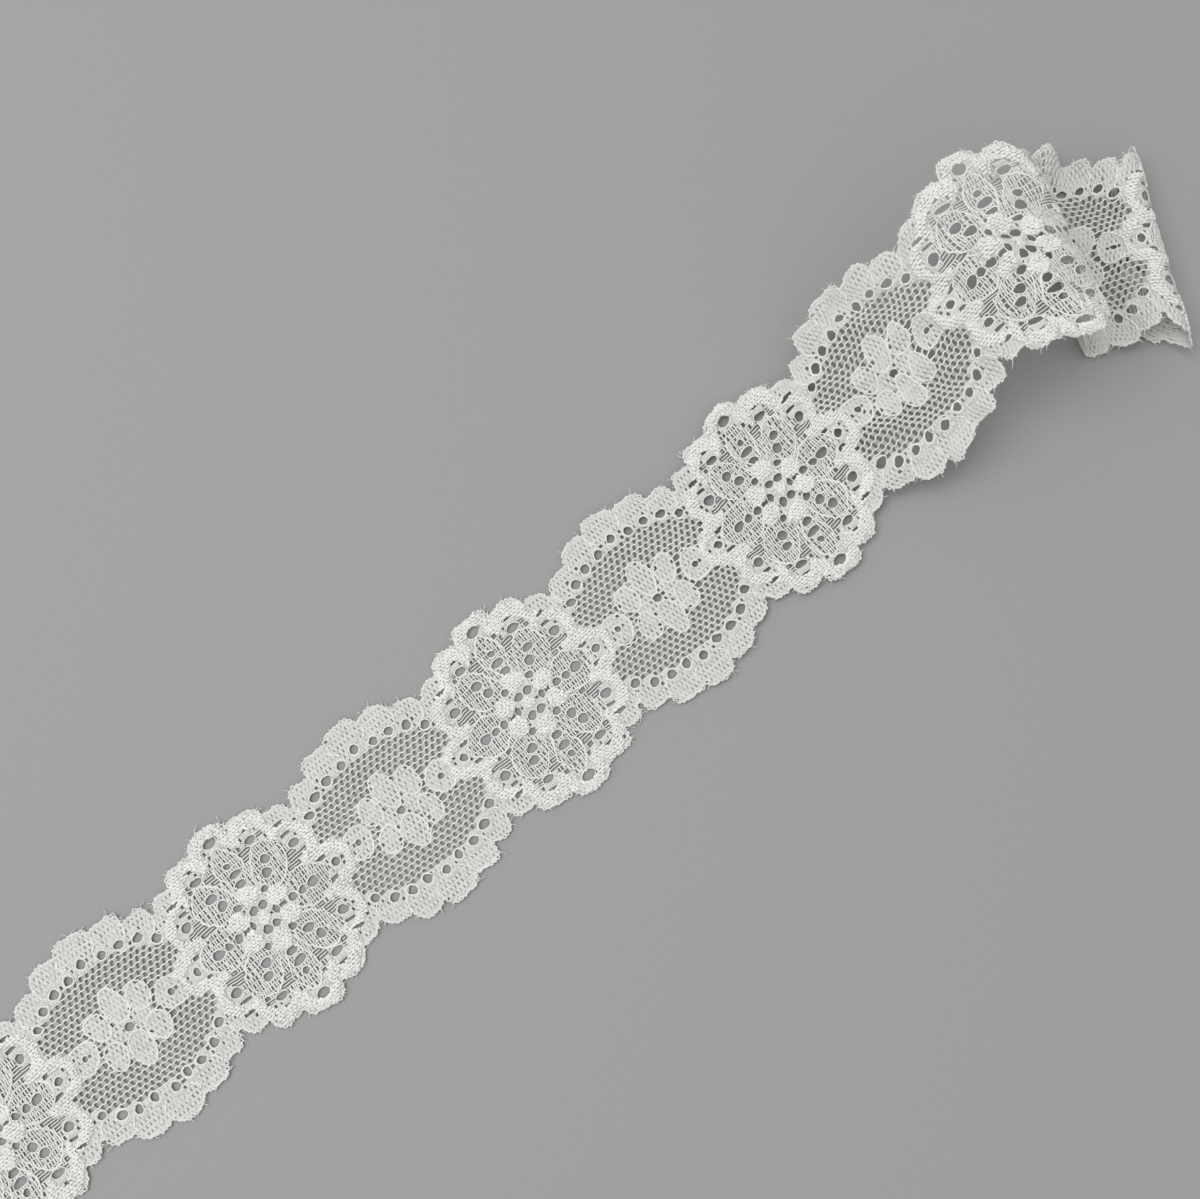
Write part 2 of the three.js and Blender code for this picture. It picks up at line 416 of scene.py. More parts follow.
def ellipseField(x, y, ellipses):
    # below 0 inside: the smallest of (scaled radius - 1) times the mean half size
    best = np.full(x.shape, np.inf)
    for cx, cy, a, b, turn in ellipses:
        c, s = math.cos(math.radians(turn)), math.sin(math.radians(turn))
        dx, dy = x - cx, y - cy
        far = np.hypot((dx * c + dy * s) / a, (dy * c - dx * s) / b)
        best = np.minimum(best, (far - 1) * (a + b) / 2)
    return best


def insideOutlines(x, y, outlines):
    # a point is inside when a line from it towards +x crosses the outline an odd number of times
    inside = np.zeros(x.shape, bool)
    for points in outlines:
        odd = np.zeros(x.shape, bool)
        for (ax, ay), (bx, by) in zip(points, points[1:] + points[:1]):
            if ay != by:
                odd ^= ((ay > y) != (by > y)) & (x < ax + (y - ay) * (bx - ax) / (by - ay))
        inside |= odd
    return inside


def strokeField(x, y, strokes):
    # below 0 inside: the distance to each line's nearest point less the half width there
    best = np.full(x.shape, np.inf)
    for line in strokes:
        for (ax, ay, aw), (bx, by, bw) in zip(line[:-1], line[1:]):
            length = (bx - ax) ** 2 + (by - ay) ** 2
            t = np.clip(((x - ax) * (bx - ax) + (y - ay) * (by - ay)) / length, 0, 1)
            far = np.hypot(x - ax - t * (bx - ax), y - ay - t * (by - ay))
            best = np.minimum(best, far - aw - t * (bw - aw))
    return best


kindNet, kindLadder, kindFloat, kindDense, kindSolid = range(5)


def chart(u, v):
    # the kind of ground at each point, and how far it is outside the heavy outline and the net,
    # which is below 0 inside them: the quarter charts read at the distances from the middle of
    # the motif, with a small wander
    half = repeat / 2
    across = np.abs(v)
    inFlower, inPanel = np.abs(localPlace(u, 0.0)), np.abs(localPlace(u, half))
    wander = knit["uneven"] * wave(u, v, knit["unevenAlong"])
    fx, px = inFlower + wander, inPanel + wander
    fy = across + knit["uneven"] * wave(u, v, knit["unevenAcross"])
    strokes = strokeField(fx, fy, flowerChart["heavy"])
    heavy = np.minimum(strokes, ellipseField(fx, fy, flowerChart["blobs"]))
    petal = insideOutlines(inFlower, across, flowerChart["petals"])
    floats = insideOutlines(fx, fy, flowerChart["floats"])
    oval = ellipseField(inPanel, across, ((0.0, 0.0, *panelChart["net"], 0.0),))
    net = np.maximum(oval, inPanel - half / 2 - panelChart["netPast"])
    net = np.maximum(net, -ellipseField(px, fy, panelChart["florets"]))
    close = ellipseField(inFlower, across, flowerChart["close"])
    net = np.maximum(net, -np.minimum(heavy, close))
    kind = np.full(u.shape, kindDense)
    a, b = flowerChart["inner"]
    kind[np.hypot(inFlower / a, across / b) < 1] = kindLadder
    kind[net < 0] = kindNet
    kind[close < 0] = kindDense
    kind[floats] = kindFloat
    kind[petal] = kindLadder
    kind[heavy < 0] = kindSolid
    return kind, heavy, net


def copies(x, y, offset):
    # signs and start of each copy of a chart's point: once on an axis, mirrored off it, and
    # carried along by whole repeats
    for signX in ((1, -1) if x else (1,)):
        for signY in ((1, -1) if y else (1,)):
            for turn in range(*edgePlan["turns"]):
                yield signX, signY, edgePlan["firstFlower"] + (turn + offset) * repeat


eyeletPlan = {
    "seed": 3,
    "stray": (0.12, 0.04),  # along and across
    "sizeStray": 0.05,
    "slit": 0.5,  # half width under which an eyelet is a slit in the gap between two wales
    "toGap": 0.6,  # how far the others move towards the nearest gap
    "clear": 0.5,  # nearest place to a cut end
    "parting": 1.12,  # length of the parting against the eyelet's
    "thread": 0.18,  # half a wale, which the parting adds to the half width
    "blunt": (2.4, 0.7),  # powers of the parting's outline
}


def placeEyelets(plan):
    # every eyelet of the strip as place along and across, half length and half width, each
    # drawn towards the nearest gap between two wales
    draw = np.random.default_rng(plan["seed"])
    found = []
    for table, offset in ((flowerChart["eyelets"], 0.0), (panelChart["eyelets"], 0.5)):
        for x, y, long, wide in table:
            for signX, signY, start in copies(x, y, offset):
                found.append((start + signX * x, signY * y, long / 2, wide / 2))
    eyes = np.array(found)
    eyes[:, 0] += draw.normal(0, plan["stray"][0], len(eyes))
    gap = np.round(eyes[:, 1] / knit["wale"]) * knit["wale"]
    share = np.where(eyes[:, 3] < plan["slit"], 1.0, plan["toGap"])
    eyes[:, 1] += share * (gap - eyes[:, 1]) + draw.normal(0, plan["stray"][1], len(eyes))
    eyes[:, 2:] *= draw.normal(1.0, plan["sizeStray"], (len(eyes), 2))
    keep = (eyes[:, 0] > plan["clear"]) & (eyes[:, 0] < cutLength - plan["clear"])
    return eyes[keep]


eyelets = placeEyelets(eyeletPlan)


def inEyelet(u, v, grow=1.0, reach=0.0):
    # inside an ellipse of the eyelet's half sizes, made longer by reach and then grown
    inside = np.zeros(u.shape, bool)
    for eu, ev, a, b in eyelets:
        inside |= np.hypot((u - eu) / (a + reach), (v - ev) / b) < grow
    return inside


def partRound(u, v):
    # threads part round an eyelet: |dv| becomes (|dv|^3 + h^3)^(1/3), where h is the half width
    # of the parting at u, (eyelet and thread) (1 - x^2.4)^0.7
    v = v.copy()
    power, root = eyeletPlan["blunt"]
    for eu, ev, a, b in eyelets:
        x = np.abs(u - eu) / (a * eyeletPlan["parting"])
        near = (x < 1) & (np.abs(v - ev) < 3 * b + 1)
        if near.any():
            h = (b + eyeletPlan["thread"]) * (1 - x[near] ** power) ** root
            dv = v[near] - ev
            v[near] = ev + np.where(dv < 0, -1, 1) * np.cbrt(np.abs(dv) ** 3 + h ** 3)
    return v


def waleLine(number, u):
    # a wale's place across the strip: straight, swaying in the net so that neighbours close and
    # part in turn, following the scalloped edge where it meets it, and parting round eyelets
    v = (number + 0.5) * knit["wale"] + 0 * u
    kind, _, net = chart(u, v)
    sway = knit["netSway"] * np.clip(-net / knit["swayFade"], 0, 1)
    v = v + sway * np.cos(2 * math.pi * u / knit["net"] + math.pi * number)
    edge, crowd = wornEdge(u) - knit["edgeInset"], knit["edgeCrowd"]
    within, side = np.abs(v), np.where(v < 0, -1, 1)
    crowded = edge - crowd + crowd * np.tanh((within - edge + crowd) / crowd)
    within = np.where(within > edge - crowd, np.minimum(within, crowded), within)
    there = np.abs(v) < edge + knit["edgeReach"]
    return partRound(u, side * within), there, kind


print("lace chart ready,", len(eyelets), "eyelets")


def layThreads(u, v, lift, wide, high, there=None, sides=4, closed=False, tone=None):
    # rings of points round each centre line: centre + wide cos(angle) sideways + high sin(angle)
    # upwards, where sideways is square to the line and to the cloth; u, v, lift, wide and high
    # are tables of one row a thread. The rings are joined by quads and closed by fans of triangles.
    u, v, lift, wide, high = np.broadcast_arrays(*(np.asarray(a, float) for a in (u, v, lift, wide, high)))
    threads, count = u.shape
    there = np.ones(u.shape, bool) if there is None else there
    centre, normal = onStrip(u, v)
    centre = centre + normal * lift[..., None]
    if closed:
        tangent = np.roll(centre, -1, 1) - np.roll(centre, 1, 1)
    else:
        tangent = np.gradient(centre, axis=1)
    tangent = unit(tangent)
    sideways = unit(np.cross(tangent, normal))
    upwards = np.cross(sideways, tangent)
    angle = 2 * math.pi * (np.arange(sides) + 0.5) / sides
    full = 1 / math.cos(math.pi / sides)  # so that wide and high reach the flats, not the corners
    ring = (
        centre[:, :, None]
        + sideways[:, :, None] * (wide[..., None] * full * np.cos(angle))[..., None]
        + upwards[:, :, None] * (high[..., None] * full * np.sin(angle))[..., None]
    )
    stride = np.linalg.norm(np.diff(centre, axis=1, prepend=centre[:, :1]), axis=-1)
    distance = np.cumsum(stride, axis=1)
    thread = np.stack(np.broadcast_arrays(distance[..., None], np.cos(angle), np.sin(angle)), -1)
    index = np.arange(threads * count * sides).reshape(threads, count, sides)
    ahead = np.roll(index, -1, 1)
    both = there & np.roll(there, -1, 1)
    if not closed:
        both[:, -1] = False
    around = np.roll(index, -1, 2), np.roll(ahead, -1, 2)
    quads = np.stack([index, ahead, around[1], around[0]], -1)[both].reshape(-1, 4)
    starts = both & ~np.roll(both, 1, 1)
    ends = np.roll(both, 1, 1) & ~both
    fan = [[0, k, k + 1] for k in range(1, sides - 1)]
    caps = [index[starts][:, f] for f in fan] + [index[ends][:, f[::-1]] for f in fan]
    tone = np.zeros(threads) if tone is None else tone
    tone = tone[:, None] if tone.ndim == 1 else tone
    return {
        "points": ring.reshape(-1, 3),
        "quads": quads,
        "triangles": np.concatenate(caps),
        "thread": thread.reshape(-1, 3),
        "tone": np.broadcast_to(tone[..., None], index.shape).reshape(-1),
    }


def addPiece(name, bundles, material):
    # one mesh from bundles of threads, in metres, without the points that no face uses
    starts = np.cumsum([0] + [len(b["points"]) for b in bundles])
    quads, triangles = (
        np.concatenate([b[key] + start for b, start in zip(bundles, starts)])
        for key in ("quads", "triangles")
    )
    points, lay, tone = (
        np.concatenate([b[key] for b in bundles]) for key in ("points", "thread", "tone")
    )
    used = np.zeros(len(points), bool)
    used[quads] = True
    used[triangles] = True
    number = np.cumsum(used) - 1
    points = (points[used] + np.array(strip["partShift"])) / 1000
    points[:, 2] = np.maximum(points[:, 2], strip["lowest"])
    corners = np.concatenate([number[quads].ravel(), number[triangles].ravel()])
    sizes = np.concatenate([np.full(len(quads), 4), np.full(len(triangles), 3)])
    mesh = bpy.data.meshes.new(name)
    mesh.vertices.add(len(points))
    mesh.vertices.foreach_set("co", points.ravel())
    mesh.loops.add(len(corners))
    mesh.loops.foreach_set("vertex_index", corners.astype(np.int32))
    mesh.polygons.add(len(sizes))
    mesh.polygons.foreach_set("loop_start", (np.cumsum(sizes) - sizes).astype(np.int32))
    mesh.polygons.foreach_set("loop_total", sizes.astype(np.int32))
    mesh.polygons.foreach_set("use_smooth", np.ones(len(sizes), bool))
    mesh.attributes.new("thread", "FLOAT_VECTOR", "POINT").data.foreach_set("vector", lay[used].ravel())
    mesh.attributes.new("tone", "FLOAT", "POINT").data.foreach_set("value", tone[used])
    mesh.update(calc_edges=True)
    mesh.validate()
    mesh.materials.append(material)
    piece = addObject(name, mesh)
    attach(piece, "root")
    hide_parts("lace_strip")
    print(name, "has", len(triangles) + 2 * len(quads), "triangles")
    return piece


yarnLook = {
    "light": (0.9, 0.893, 0.86),
    "dull": (0.74, 0.735, 0.705),
    "ramp": (0.15, 0.6),  # mask values of the dull and the light tone
    "roughness": 0.6,
    "sheen": 0.12,
    "sheenRoughness": 0.5,
    "plyLength": 0.55,  # millimetres for one turn of the plies
    "ply": 0.35,  # height of the plies and of the filaments in the relief
    "fuzz": 0.4,
    "fine": {"Scale": 5200.0, "Detail": 2.0, "Roughness": 0.6},
    "broad": {"Scale": 260.0, "Detail": 2.0},
    "fineShare": 0.35,
    "broadShare": 0.5,
    "relief": {"Strength": 0.5, "Distance": 0.00006},
}


def addNode(tree, kind, values=None, **settings):
    node = tree.nodes.new("ShaderNode" + kind)
    for key, value in settings.items():
        setattr(node, key, value)
    for key, value in (values or {}).items():
        node.inputs[key].default_value = value
    return node


def mathNode(tree, operation, a, b=None):
    node = addNode(tree, "Math", operation=operation)
    for k, value in enumerate((a, b)):
        if value is None:
            continue
        if isinstance(value, (int, float)):
            node.inputs[k].default_value = value
        else:
            tree.links.new(value, node.inputs[k])
    return node.outputs[0]


def noiseValue(tree, values):
    place = addNode(tree, "TexCoord")
    noise = addNode(tree, "TexNoise", values)
    tree.links.new(place.outputs["Object"], noise.inputs["Vector"])
    return noise.outputs[0]


def yarnGroup(look):
    # twisted plies: sin(2 pi along / turn + angle), from the thread attribute's length along and
    # cosine and sine of the angle, and fine filaments from noise; the mask is both noises and the
    # thread's own tone
    group = bpy.data.node_groups.new("twistedYarn", "ShaderNodeTree")
    for name, way in (("Turn", "INPUT"), ("Mask", "OUTPUT"), ("Height", "OUTPUT")):
        group.interface.new_socket(name, in_out=way, socket_type="NodeSocketFloat")

    def times(a, b):
        return mathNode(group, "MULTIPLY", a, b)

    def plus(a, b):
        return mathNode(group, "ADD", a, b)

    start = group.nodes.new("NodeGroupInput")
    end = group.nodes.new("NodeGroupOutput")
    thread = addNode(group, "Attribute", attribute_name="thread")
    parts = addNode(group, "SeparateXYZ")
    group.links.new(thread.outputs["Vector"], parts.inputs[0])
    phase = times(mathNode(group, "DIVIDE", parts.outputs[0], start.outputs["Turn"]), 2 * math.pi)
    wound = plus(
        times(mathNode(group, "SINE", phase), parts.outputs[1]),
        times(mathNode(group, "COSINE", phase), parts.outputs[2]),
    )
    fine, broad = noiseValue(group, look["fine"]), noiseValue(group, look["broad"])
    tone = addNode(group, "Attribute", attribute_name="tone")
    height = plus(times(wound, look["ply"]), times(fine, look["fuzz"]))
    clouds = plus(times(broad, look["broadShare"]), times(fine, look["fineShare"]))
    mask = plus(clouds, tone.outputs["Fac"])
    group.links.new(mask, end.inputs["Mask"])
    group.links.new(height, end.inputs["Height"])
    return group


yarn = yarnGroup(yarnLook)


def yarnMaterial(name, look, bright):
    material = bpy.data.materials.new(name)
    material.use_nodes = True
    tree = material.node_tree
    tree.nodes.clear()
    surface = addNode(tree, "BsdfPrincipled", {
        "Roughness": look["roughness"],
        "Sheen Weight": look["sheen"],
        "Sheen Roughness": look["sheenRoughness"],
    })
    out = addNode(tree, "OutputMaterial")
    tree.links.new(surface.outputs[0], out.inputs[0])
    group = addNode(tree, "Group", node_tree=yarn)
    group.inputs["Turn"].default_value = look["plyLength"]
    ramp = addNode(tree, "ValToRGB")
    for stop, place, colour in zip(ramp.color_ramp.elements, look["ramp"], (look["dull"], look["light"])):
        stop.position = place
        stop.color = (*(c * bright for c in colour), 1)
    tree.links.new(group.outputs["Mask"], ramp.inputs[0])
    tree.links.new(ramp.outputs[0], surface.inputs["Base Color"])
    relief = addNode(tree, "Bump", look["relief"])
    tree.links.new(group.outputs["Height"], relief.inputs["Height"])
    tree.links.new(relief.outputs[0], surface.inputs["Normal"])
    return material


groundYarn = yarnMaterial("white_lace_ground", yarnLook, bright=0.97)
linerYarn = yarnMaterial("white_lace_liner", yarnLook, bright=1.03)
print("materials ready")


# wales, the threads along the strip
walePlan = {
    "count": 38,
    "lift": -0.08,
    "fray": 1.0,  # how far the wales end short of the cut
    # half width, half height and tone in the net, ladders, floats, dense and solid ground
    "wide": (0.15, 0.12, 0.11, 0.26, 0.26),
    "high": (0.14, 0.09, 0.1, 0.12, 0.16),
    "tone": (0.0, -0.08, -0.03, -0.28, -0.28),
    "wideStray": 0.06,
    "toneStray": 0.05,
}


def softened(a):
    # each value becomes half itself and a quarter of both its neighbours along the thread
    ends = np.concatenate([a[:, :1], a, a[:, -1:]], 1)
    return (ends[:, :-2] + 2 * ends[:, 1:-1] + ends[:, 2:]) / 4


def walesPiece(name, first, last, seed):
    # one thread along each wale's line, as thick and as bright as the ground there asks
    plan = walePlan
    draw = np.random.default_rng(seed)
    along = np.minimum(np.arange(0, cutLength + 0.01, knit["railStep"]), cutLength)
    number, u = np.meshgrid(np.arange(first, last), along, indexing="ij")
    v, there, kind = waleLine(number, u)
    wide, high, tone = (softened(np.array(plan[key])[kind]) for key in ("wide", "high", "tone"))
    wide = wide * draw.normal(1.0, plan["wideStray"], u.shape)
    tone = tone + draw.normal(0, plan["toneStray"], (len(u), 1))
    there = there & (u < cutLength - draw.uniform(0, plan["fray"], (len(u), 1)))
    return addPiece(name, [layThreads(u, v, plan["lift"], wide, high, there, tone=tone)], groundYarn)


sideWales = walePlan["count"] // 2
walesRight = walesPiece("wales_right", -sideWales, 0, 11)
walesLeft = walesPiece("wales_left", 0, sideWales, 12)


# rungs, the threads from wale to wale; each kind changes what differs from the plain one
plainRung = {
    "rows": 37,
    "lift": -0.08,
    "liftStray": 0.02,
    "stagger": 0.0,  # how far every other row is moved on, in spacings
    "start": 0.25,
    "jitter": 0.03,  # how far a whole line of rungs strays, and each rung's share of that
    "loose": 0.4,
    "clear": 0.3,  # nearest place to a cut end
    "shortest": 0.15,  # rungs between closer wales are left out
    "eyeRoom": 0.22,
    "thickRound": 1.7,  # dense ground is solid this close round an eyelet
    "points": 2,
    "sides": 4,
    "shade": 0.0,
    "toneStray": 0.07,
    "uneven": 0.05,
    "unevenLimits": (0.7, 1.3),
    "slant": 0.0,
    "slantWaves": (0.09, 0.12, 0.0),
}
ladderRung = {
    **plainRung, "spacing": knit["fine"], "seed": 21, "jitter": 0.06, "loose": 1.1, "eyeRoom": 0.1,
    "wide": 0.172, "high": 0.1, "shade": -0.08, "uneven": 0.14,
}
netBridge = {
    **plainRung, "spacing": knit["net"], "seed": 22, "jitter": 0.0, "wide": 0.037, "high": 0.04,
    "sides": 3, "slant": 0.3, "strands": (-0.34, -0.17, 0.0, 0.17, 0.34), "endRoom": 1.0,
}
denseRung = {
    **plainRung, "spacing": knit["dense"], "stagger": 0.5, "seed": 23, "jitter": 0.025,
    "wide": (0.46, 0.405, 0.46), "high": 0.11, "points": 3, "shade": -0.36,
}
solidRung = {
    **plainRung, "spacing": knit["fine"], "stagger": 0.5, "seed": 24, "jitter": 0.02,
    "wide": 0.3, "high": 0.14, "lift": -0.06, "shade": -0.36,
}
# the finer threads midway between two wales where the floats are
floatThread = {
    "wide": 0.11, "high": 0.08, "lift": -0.08, "liftStray": 0.02, "shade": -0.05, "toneStray": 0.06,
}


def rungGrid(plan):
    # row and place of each rung: rows between neighbouring wales, in equal spacings
    draw = np.random.default_rng(plan["seed"])
    side = plan["rows"] // 2
    places = np.arange(0, cutLength / plan["spacing"])
    row, place = np.meshgrid(np.arange(-side, side + 1), places, indexing="ij")
    u = (place + plan["stagger"] * (row % 2) + plan["start"]) * plan["spacing"]
    u = u + draw.normal(0, plan["jitter"], u.shape[1])
    u = u + draw.normal(0, plan["loose"] * plan["jitter"], u.shape)
    keep = (u > plan["clear"]) & (u < cutLength - plan["clear"])
    return row[keep], u[keep], draw


def layRungs(row, u, plan, draw):
    # each rung runs from the wale below its row to the wale above: v = lower + share (upper -
    # lower), leaning along by its slant times a slow wave
    lower, thereLow, _ = waleLine(row - 1, u)
    upper, thereHigh, _ = waleLine(row, u)
    keep = thereLow & thereHigh & (upper - lower > plan["shortest"])
    share = np.linspace(0, 1, plan["points"])
    u, lower, upper = (a[keep][:, None] for a in (u, lower, upper))
    lean = plan["slant"] * wave(u, lower, plan["slantWaves"])
    tone = draw.normal(plan["shade"], plan["toneStray"], len(u))
    uneven = np.clip(draw.normal(1.0, plan["uneven"], u.shape), *plan["unevenLimits"])
    lift = plan["lift"] + draw.normal(0, plan["liftStray"], u.shape)
    return layThreads(
        u + lean * (share - 0.5), lower + (upper - lower) * share, lift,
        np.array(plan["wide"]) * uneven, plan["high"], sides=plan["sides"], tone=tone,
    )


def rungsOfKind(wanted, plan):
    row, u, draw = rungGrid(plan)
    v = row * knit["wale"]
    kind = chart(u, v)[0]
    kind = np.where(inEyelet(u, v, plan["thickRound"]) & (kind == kindDense), kindSolid, kind)
    keep = (kind == wanted) & ~inEyelet(u, v, reach=plan["eyeRoom"])
    return layRungs(row[keep], u[keep], plan, draw)


def bridgesAndFloats(plan, line):
    # bridges of a few fine strands stand where the two wales of a row come together; the floats
    # are threads midway between two wales
    row, u, draw = rungGrid(plan)
    u = (np.round(u / knit["net"]) + 0.5 * (row % 2 == 0)) * knit["net"]
    v = row * knit["wale"]
    keep = (chart(u, v)[0] == kindNet) & ~inEyelet(u, v) & (u < cutLength - plan["endRoom"])
    threads = [layRungs(row[keep], u[keep] + shift, plan, draw) for shift in plan["strands"]]
    numbers = np.arange(-sideWales, sideWales - 1) + 0.5
    number, u = np.meshgrid(numbers, np.arange(0, cutLength, knit["railStep"]), indexing="ij")
    v, there, kind = waleLine(number, u)
    lift = line["lift"] + draw.normal(0, line["liftStray"], u.shape)
    tone = draw.normal(line["shade"], line["toneStray"], len(u))
    there = there & (kind == kindFloat)
    threads.append(layThreads(u, v, lift, line["wide"], line["high"], there, tone=tone))
    return threads


openRungs = addPiece(
    "open_rungs", [rungsOfKind(kindLadder, ladderRung), *bridgesAndFloats(netBridge, floatThread)], groundYarn
)
cloth = addPiece(
    "cloth", [rungsOfKind(kindDense, denseRung), rungsOfKind(kindSolid, solidRung)], groundYarn
)


# liner, the raised heavy outline
linerPlan = {
    "seed": 31,
    "lift": 0.06,
    "liftStray": 0.03,
    "plump": 0.2,  # how much higher the middle of the heavy outline stands, and from how far in
    "plumpReach": 1.1,
    "rows": 2,  # zigzags to a wale
    "period": repeat / 72,
    "steps": 4,  # points in a period
    "swing": 0.13,
    "swingStray": 0.05,
    "turnStray": 0.7,  # how far a zigzag's turns are out of step, and how they drift
    "turnDrift": 0.8,
    "driftWaves": 0.55,
    "stray": 0.09,  # of each point along
    "wide": (0.18, 0.35),  # between two stitches and in a stitch's middle
    "high": (0.07, 0.25),
    "sizeStray": 0.12,
    "toneStray": 0.05,
    "inset": 0.1,  # from the heavy outline's border
    "eyeShare": 0.95,
}


def linerPiece(name, plan):
    # zigzags side by side: v + swing cos(2 pi u / period), higher towards the outline's middle
    draw = np.random.default_rng(plan["seed"])
    numbers = np.arange(-sideWales, sideWales, 1 / plan["rows"])
    step = plan["period"] / plan["steps"]
    places = np.arange(int(cutLength / step))
    number, place = np.meshgrid(numbers, places, indexing="ij")
    u = (place + 0.5) * step
    v, there, _ = waleLine(number, u)
    # neighbours are half a period apart, and both drift a little
    turn = 2 * math.pi * place / plan["steps"] + math.pi * np.round(number * plan["rows"])
    turn = turn + draw.normal(0, plan["turnStray"], (len(numbers), 1))
    start = draw.uniform(0, 6, (len(numbers), 1))
    turn = turn + plan["turnDrift"] * np.sin(plan["driftWaves"] * u + start)
    u = u + draw.normal(0, plan["stray"], u.shape)
    heavy = chart(u, v)[1]
    there = there & (heavy < -plan["inset"]) & ~inEyelet(u, v, plan["eyeShare"])
    grow = draw.normal(1.0, plan["sizeStray"], u.shape)
    v = v + plan["swing"] * np.cos(turn) * grow + draw.normal(0, plan["swingStray"], u.shape)
    lift = plan["lift"] + plan["plump"] * ease(-heavy / plan["plumpReach"])
    lift = lift + draw.normal(0, plan["liftStray"], u.shape)
    middle = (1 + np.sin(turn)) / 2
    wide, high = ((low + (top - low) * middle) * grow for low, top in (plan["wide"], plan["high"]))
    tone = draw.normal(0, plan["toneStray"], len(numbers))
    return addPiece(name, [layThreads(u, v, lift, wide, high, there, tone=tone)], linerYarn)


liner = linerPiece("liner_stitches", linerPlan)


# rims: closed loops round the eyelets and florets, and chart lines round the petals and in the
# seams between scallops. Each kind changes what differs from the plain one.
plainRim = {
    "clear": 0.6,  # nearest place to a cut end
    "points": 20,
    "lift": 0.0,
    "swell": 0.05,
    "scallop": 0.0,
    "scallops": 18,
    "thickStray": 0.12,
    "shade": 0.0,
    "toneStray": 0.04,
    "closed": True,
    # for chart lines: mean thickness, how much it swells on the way, and the least distance
    # outside the heavy outline
    "thick": 0.85,
    "thickWave": 0.25,
    "heavyRoom": -0.35,
}
borderRim = {
    **plainRim, "seed": 41, "grow": 0.2, "wide": 0.125, "high": 0.12, "lift": 0.04, "bump": 0.07,
}
innerRim = {**plainRim, "seed": 42, "grow": 0.1, "wide": 0.08, "high": 0.08, "bump": 0.04, "shade": 0.02}
petalRim = {
    **plainRim, "seed": 43, "points": 56, "wide": 0.19, "high": 0.11, "lift": 0.03, "bump": 0.13,
    "shade": -0.08,
}
floretRim = {
    **plainRim, "seed": 44, "points": 96, "grow": 0.0, "wide": 0.17, "high": 0.13, "lift": 0.04, "bump": 0.06,
    "shade": -0.03, "scallop": 0.13,
}
seamLine = {
    **plainRim, "seed": 45, "points": 11, "wide": 0.16, "high": 0.14, "lift": 0.1, "bump": 0.08, "shade": 0.1,
    "closed": False,
}
# the border's eyelets lie beside the net; so do the two at the flower's roots
borderPlan = {"reach": 16.5, "across": 9.5, "root": 17.8, "rootReach": 0.8, "rootAcross": 1.0}


def loopThreads(loops, plan):
    # closed loops: centre + half sizes times (cos, sin) turned by an angle, with two slow swells,
    # a row of scallops and small bumps
    draw = np.random.default_rng(plan["seed"])
    ends, count = loops[:, 0] - loops[:, 2], plan["points"]
    loops = loops[(ends > plan["clear"]) & (loops[:, 0] + loops[:, 2] < cutLength - plan["clear"])]
    starts = (len(loops), 1)
    angle = 2 * math.pi * np.arange(count) / count
    swell = 1 + plan["swell"] * np.cos(2 * angle + draw.uniform(0, 6, starts))
    swell = swell + plan["swell"] * np.cos(3 * angle + draw.uniform(0, 6, starts))
    scallop = plan["scallop"] * np.cos(plan["scallops"] * angle + draw.uniform(0, 6, starts))
    placeU, placeV, long, wide, turn = (loops[:, k:k + 1] for k in range(5))
    x, y = (long * swell + scallop) * np.cos(angle), (wide * swell + scallop) * np.sin(angle)
    u = placeU + x * np.cos(turn) - y * np.sin(turn) + draw.normal(0, plan["bump"], (len(loops), count))
    v = placeV + x * np.sin(turn) + y * np.cos(turn) + draw.normal(0, plan["bump"], (len(loops), count))
    thick = draw.normal(1.0, plan["thickStray"], (len(loops), count))
    tone = draw.normal(plan["shade"], plan["toneStray"], len(loops))
    return layThreads(u, v, plan["lift"], plan["wide"] * thick, plan["high"] * thick, closed=True, tone=tone)


def carried(line, offset, plan):
    # a line of the chart in equal steps, mirrored to all quarters and carried along by whole
    # repeats; a closed one that starts on an axis is first completed on the axis's other side
    shape, closed = np.array(line, float), plan["closed"]
    onLength, onWidth = closed and shape[0, 1] == 0, closed and shape[0, 0] == 0
    if onLength or onWidth:
        shape = np.concatenate([shape, shape[-2:0:-1] * ((1, -1) if onLength else (-1, 1))])
    if closed:
        shape = np.concatenate([shape, shape[:1]])
    length = np.concatenate([[0], np.cumsum(np.hypot(*np.diff(shape, axis=0).T))])
    at = np.linspace(0, length[-1], plan["points"], endpoint=not closed)
    x, y = np.interp(at, length, shape[:, 0]), np.interp(at, length, shape[:, 1])
    return [
        (start + signX * x, signY * y)
        for signX, signY, start in copies(not onWidth, not onLength, offset)
    ]


def chartThreads(lines, offset, plan):
    # the chart's lines with small bumps, thicker and thinner along the way, and left out where
    # they lie inside the heavy outline
    draw = np.random.default_rng(plan["seed"])
    u, v = np.moveaxis(np.array([pair for line in lines for pair in carried(line, offset, plan)]), 1, 0)
    keep = (u.min(1) > plan["clear"]) & (u.max(1) < cutLength - plan["clear"])
    u, v = u[keep], v[keep]
    there = chart(u, v)[1] > plan["heavyRoom"]
    u = u + draw.normal(0, plan["bump"], u.shape)
    v = v + draw.normal(0, plan["bump"], v.shape)
    turn = 2 * np.linspace(0, 2 * math.pi, plan["points"])
    thick = draw.normal(plan["thick"], plan["thickStray"], u.shape)
    thick = thick + plan["thickWave"] * np.sin(turn + draw.uniform(0, 6, (len(u), 1)))
    tone = draw.normal(plan["shade"], plan["toneStray"], len(u))
    wide, high = plan["wide"] * thick, plan["high"] * thick
    return layThreads(u, v, plan["lift"], wide, high, there, closed=plan["closed"], tone=tone)


